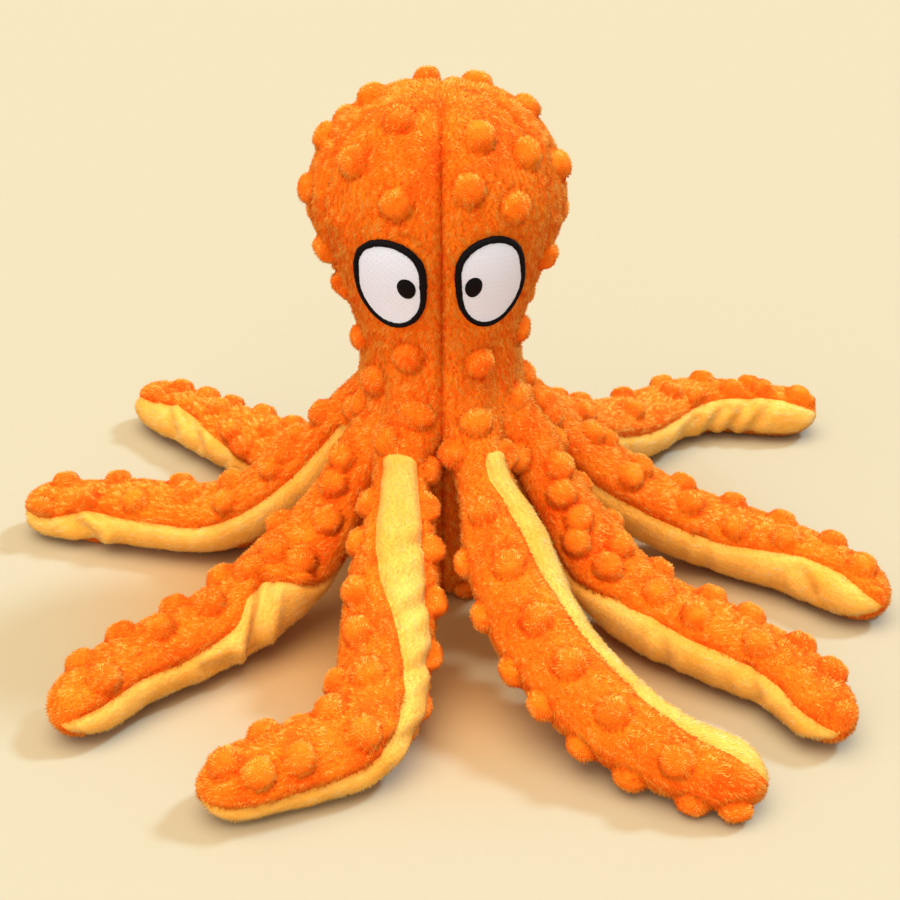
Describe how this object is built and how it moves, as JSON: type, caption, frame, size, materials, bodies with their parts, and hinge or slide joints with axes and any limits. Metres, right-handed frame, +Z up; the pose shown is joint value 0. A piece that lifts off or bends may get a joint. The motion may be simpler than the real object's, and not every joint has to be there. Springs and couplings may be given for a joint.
{
  "type": "plush octopus",
  "caption": "Stuffed octopus toy with a light-bulb head, embroidered eyes and bendable arms of bump plush over smooth plush strips.",
  "frame": {"origin": "middle of the underside panel, on the ground, straight under the crown", "axes": "+Z up through the crown, -Y the way the face looks, +X to the right as seen from the front"},
  "size_m": [0.3688, 0.3223, 0.21],
  "materials": {
    "orange_plush": "short bump-embossed pile",
    "yellow_plush": "smooth short pile",
    "white_thread": "embroidered fill stitches",
    "black_thread": "satin stitches",
    "fibre_filling": "loose polyester fibre",
    "squeaker_plastic": "soft moulded plastic"
  },
  "bodies": {
    "body": {"front_left_gore": "orange_plush", "back_left_gore": "orange_plush", "left_eye_white": "white_thread", "left_eye_black": "black_thread", "front_right_gore": "orange_plush", "back_right_gore": "orange_plush", "right_eye_white": "white_thread", "right_eye_black": "black_thread", "underside_panel": "yellow_plush", "body_filling": "fibre_filling", "squeaker_bulb": "squeaker_plastic", "squeaker_reed": "squeaker_plastic"},
    "arm_1_upper": {"arm_1_upper_top": "orange_plush", "arm_1_upper_underside": "yellow_plush", "arm_1_upper_filling": "fibre_filling"},
    "arm_1_lower": {"arm_1_lower_top": "orange_plush", "arm_1_lower_underside": "yellow_plush", "arm_1_lower_filling": "fibre_filling"},
    "arm_2_upper": {"arm_2_upper_top": "orange_plush", "arm_2_upper_underside": "yellow_plush", "arm_2_upper_filling": "fibre_filling"},
    "arm_2_lower": {"arm_2_lower_top": "orange_plush", "arm_2_lower_underside": "yellow_plush", "arm_2_lower_filling": "fibre_filling"},
    "arm_3_upper": {"arm_3_upper_top": "orange_plush", "arm_3_upper_underside": "yellow_plush", "arm_3_upper_filling": "fibre_filling"},
    "arm_3_lower": {"arm_3_lower_top": "orange_plush", "arm_3_lower_underside": "yellow_plush", "arm_3_lower_filling": "fibre_filling"},
    "arm_4_upper": {"arm_4_upper_top": "orange_plush", "arm_4_upper_underside": "yellow_plush", "arm_4_upper_filling": "fibre_filling"},
    "arm_4_lower": {"arm_4_lower_top": "orange_plush", "arm_4_lower_underside": "yellow_plush", "arm_4_lower_filling": "fibre_filling"},
    "arm_5_upper": {"arm_5_upper_top": "orange_plush", "arm_5_upper_underside": "yellow_plush", "arm_5_upper_filling": "fibre_filling"},
    "arm_5_lower": {"arm_5_lower_top": "orange_plush", "arm_5_lower_underside": "yellow_plush", "arm_5_lower_filling": "fibre_filling"},
    "arm_6_upper": {"arm_6_upper_top": "orange_plush", "arm_6_upper_underside": "yellow_plush", "arm_6_upper_filling": "fibre_filling"},
    "arm_6_lower": {"arm_6_lower_top": "orange_plush", "arm_6_lower_underside": "yellow_plush", "arm_6_lower_filling": "fibre_filling"},
    "arm_7_upper": {"arm_7_upper_top": "orange_plush", "arm_7_upper_underside": "yellow_plush", "arm_7_upper_filling": "fibre_filling"},
    "arm_7_lower": {"arm_7_lower_top": "orange_plush", "arm_7_lower_underside": "yellow_plush", "arm_7_lower_filling": "fibre_filling"},
    "arm_8_upper": {"arm_8_upper_top": "orange_plush", "arm_8_upper_underside": "yellow_plush", "arm_8_upper_filling": "fibre_filling"},
    "arm_8_lower": {"arm_8_lower_top": "orange_plush", "arm_8_lower_underside": "yellow_plush", "arm_8_lower_filling": "fibre_filling"}
  },
  "joints": [
    {"name": "arm_1_lift", "type": "hinge", "parent": "body", "child": "arm_1_upper", "pos_m": [-0.02, 0.03464, 0.07], "axis": [0.6428, 0.766, 0], "range_deg": [-12, 52]},
    {"name": "arm_1_curl", "type": "hinge", "parent": "arm_1_upper", "child": "arm_1_lower", "pos_m": [-0.08703, 0.09239, 0.0145], "axis": [0.6691, 0.7431, 0], "range_deg": [-25, 45]},
    {"name": "arm_2_lift", "type": "hinge", "parent": "body", "child": "arm_2_upper", "pos_m": [-0.03881, 0.00968, 0.07], "axis": [0.1736, 0.9848, 0], "range_deg": [-12, 52]},
    {"name": "arm_2_curl", "type": "hinge", "parent": "arm_2_upper", "child": "arm_2_lower", "pos_m": [-0.11176, 0.02353, 0.01451], "axis": [0.2079, 0.9781, 0], "range_deg": [-25, 45]},
    {"name": "arm_3_lift", "type": "hinge", "parent": "body", "child": "arm_3_upper", "pos_m": [-0.03532, -0.01878, 0.07], "axis": [-0.6561, 0.7547, 0], "range_deg": [-12, 52]},
    {"name": "arm_3_curl", "type": "hinge", "parent": "arm_3_upper", "child": "arm_3_lower", "pos_m": [-0.08957, -0.06594, 0.0146], "axis": [-0.6561, 0.7547, 0], "range_deg": [-25, 45]},
    {"name": "arm_4_lift", "type": "hinge", "parent": "body", "child": "arm_4_upper", "pos_m": [-0.01531, -0.03696, 0.07], "axis": [-0.9962, 0.0872, 0], "range_deg": [-12, 52]},
    {"name": "arm_4_curl", "type": "hinge", "parent": "arm_4_upper", "child": "arm_4_lower", "pos_m": [-0.02211, -0.11407, 0.01833], "axis": [-0.9922, 0.1249, 0], "range_deg": [-25, 45]},
    {"name": "arm_5_lift", "type": "hinge", "parent": "body", "child": "arm_5_upper", "pos_m": [0.01531, -0.03696, 0.07], "axis": [-0.9563, -0.2924, 0], "range_deg": [-12, 52]},
    {"name": "arm_5_curl", "type": "hinge", "parent": "arm_5_upper", "child": "arm_5_lower", "pos_m": [0.04553, -0.10948, 0.02504], "axis": [-0.8053, -0.5929, 0], "range_deg": [-25, 45]},
    {"name": "arm_6_lift", "type": "hinge", "parent": "body", "child": "arm_6_upper", "pos_m": [0.03532, -0.01878, 0.07], "axis": [-0.6157, -0.788, 0], "range_deg": [-12, 52]},
    {"name": "arm_6_curl", "type": "hinge", "parent": "arm_6_upper", "child": "arm_6_lower", "pos_m": [0.0957, -0.06596, 0.0145], "axis": [-0.6157, -0.788, 0], "range_deg": [-25, 45]},
    {"name": "arm_7_lift", "type": "hinge", "parent": "body", "child": "arm_7_upper", "pos_m": [0.03881, 0.00968, 0.07], "axis": [0.0698, -0.9976, 0], "range_deg": [-12, 52]},
    {"name": "arm_7_curl", "type": "hinge", "parent": "arm_7_upper", "child": "arm_7_lower", "pos_m": [0.11639, 0.00637, 0.01623], "axis": [-0.3119, -0.9501, 0], "range_deg": [-25, 45]},
    {"name": "arm_8_lift", "type": "hinge", "parent": "body", "child": "arm_8_upper", "pos_m": [0.02, 0.03464, 0.07], "axis": [0.7314, -0.682, 0], "range_deg": [-12, 52]},
    {"name": "arm_8_curl", "type": "hinge", "parent": "arm_8_upper", "child": "arm_8_lower", "pos_m": [0.09112, 0.11091, 0.01602], "axis": [0.7314, -0.682, 0], "range_deg": [-25, 45]}
  ]
}
